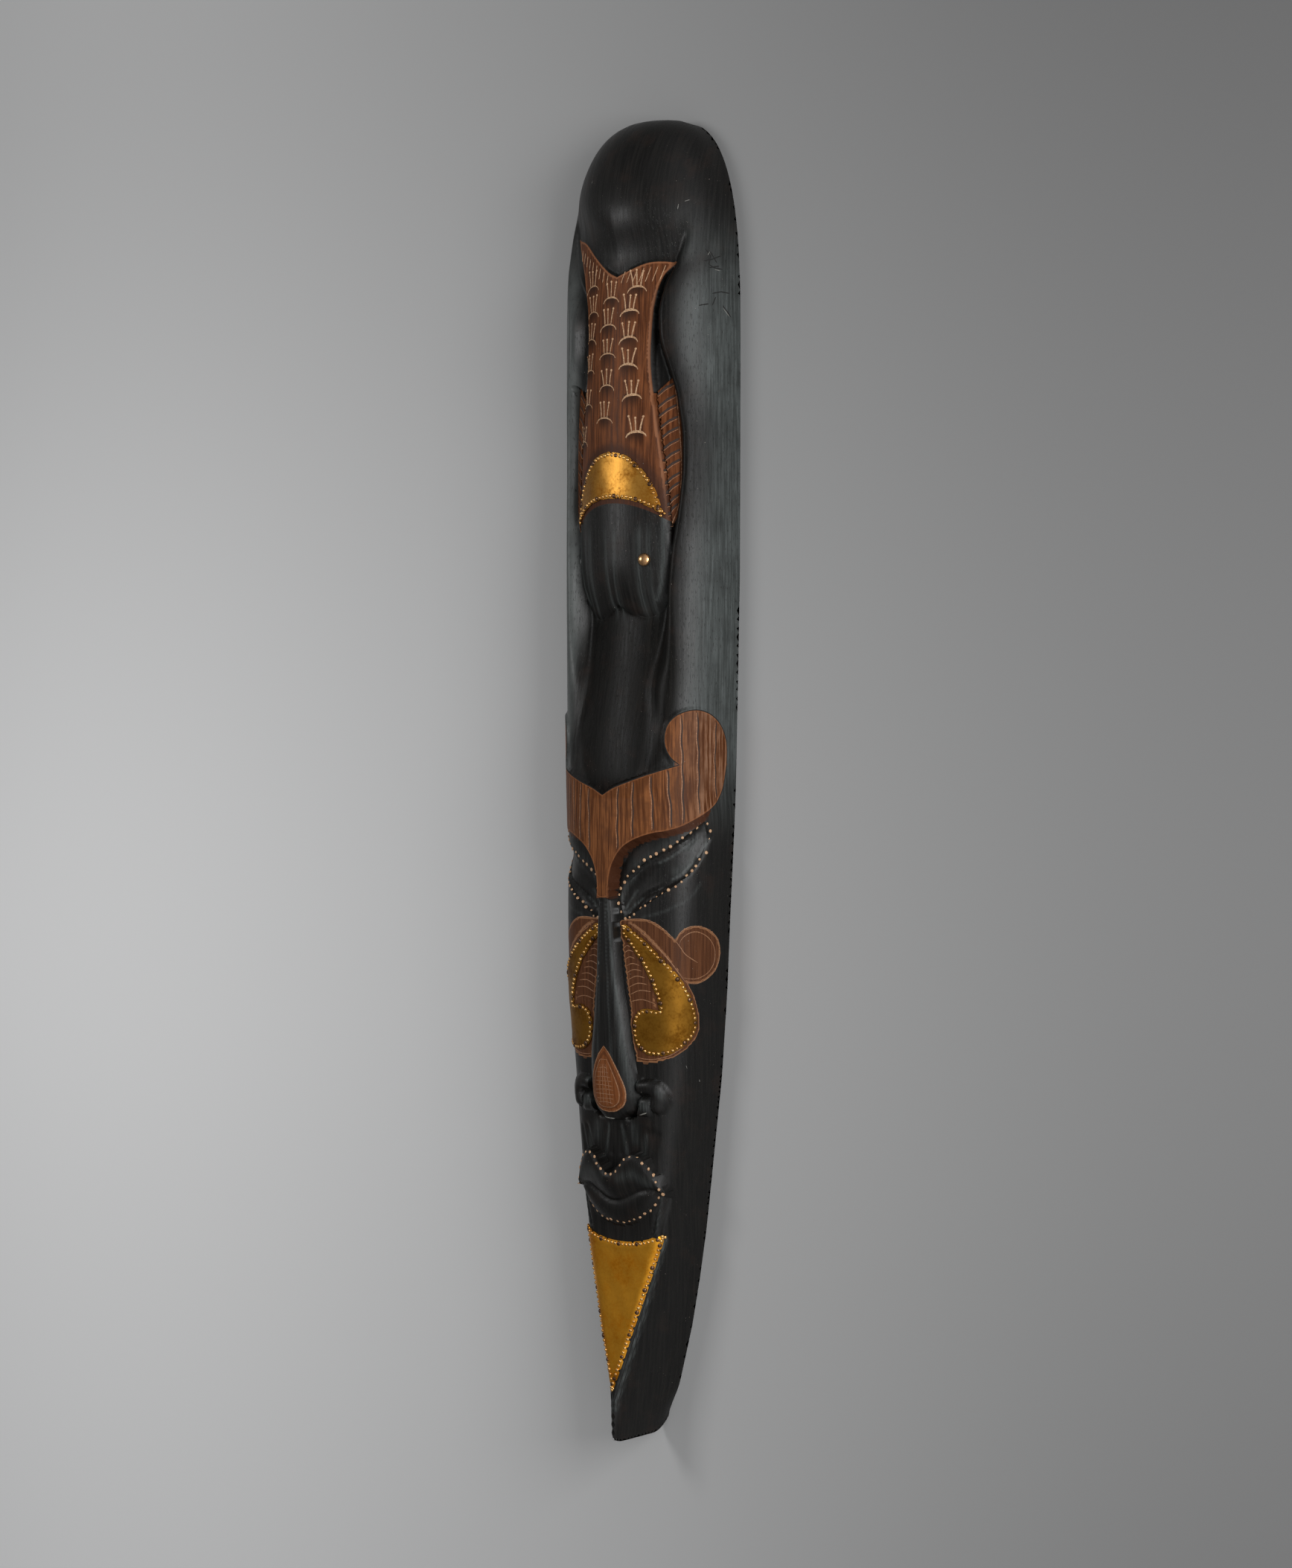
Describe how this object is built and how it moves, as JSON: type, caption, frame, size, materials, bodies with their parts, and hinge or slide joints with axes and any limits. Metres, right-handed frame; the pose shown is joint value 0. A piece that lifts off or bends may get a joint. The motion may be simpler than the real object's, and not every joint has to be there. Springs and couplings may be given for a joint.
{
  "type": "tribal mask",
  "caption": "Long carved wooden wall mask of half-log section: fish on the forehead, brown crown over leaf-shaped eyes, long nose, full lips and pointed chin, with brass plates.",
  "frame": {"origin": "centre of the bounding box on the flat back plane", "axes": "+Z out of the face, +Y to the top of the head, +X to the viewer's right"},
  "size_m": [0.1504, 0.9999, 0.0712],
  "materials": {
    "painted_wood": "satin black paint with stained brown carving",
    "brass_sheet": "embossed sheet, satin",
    "brass_nail": "polished dome"
  },
  "bodies": {
    "root": {"mask_body": "painted_wood", "fish_band": "brass_sheet", "cheek_plate_right": "brass_sheet", "cheek_plate_left": "brass_sheet", "chin_plate": "brass_sheet", "fish_eye_right": "brass_nail"}
  },
  "joints": []
}
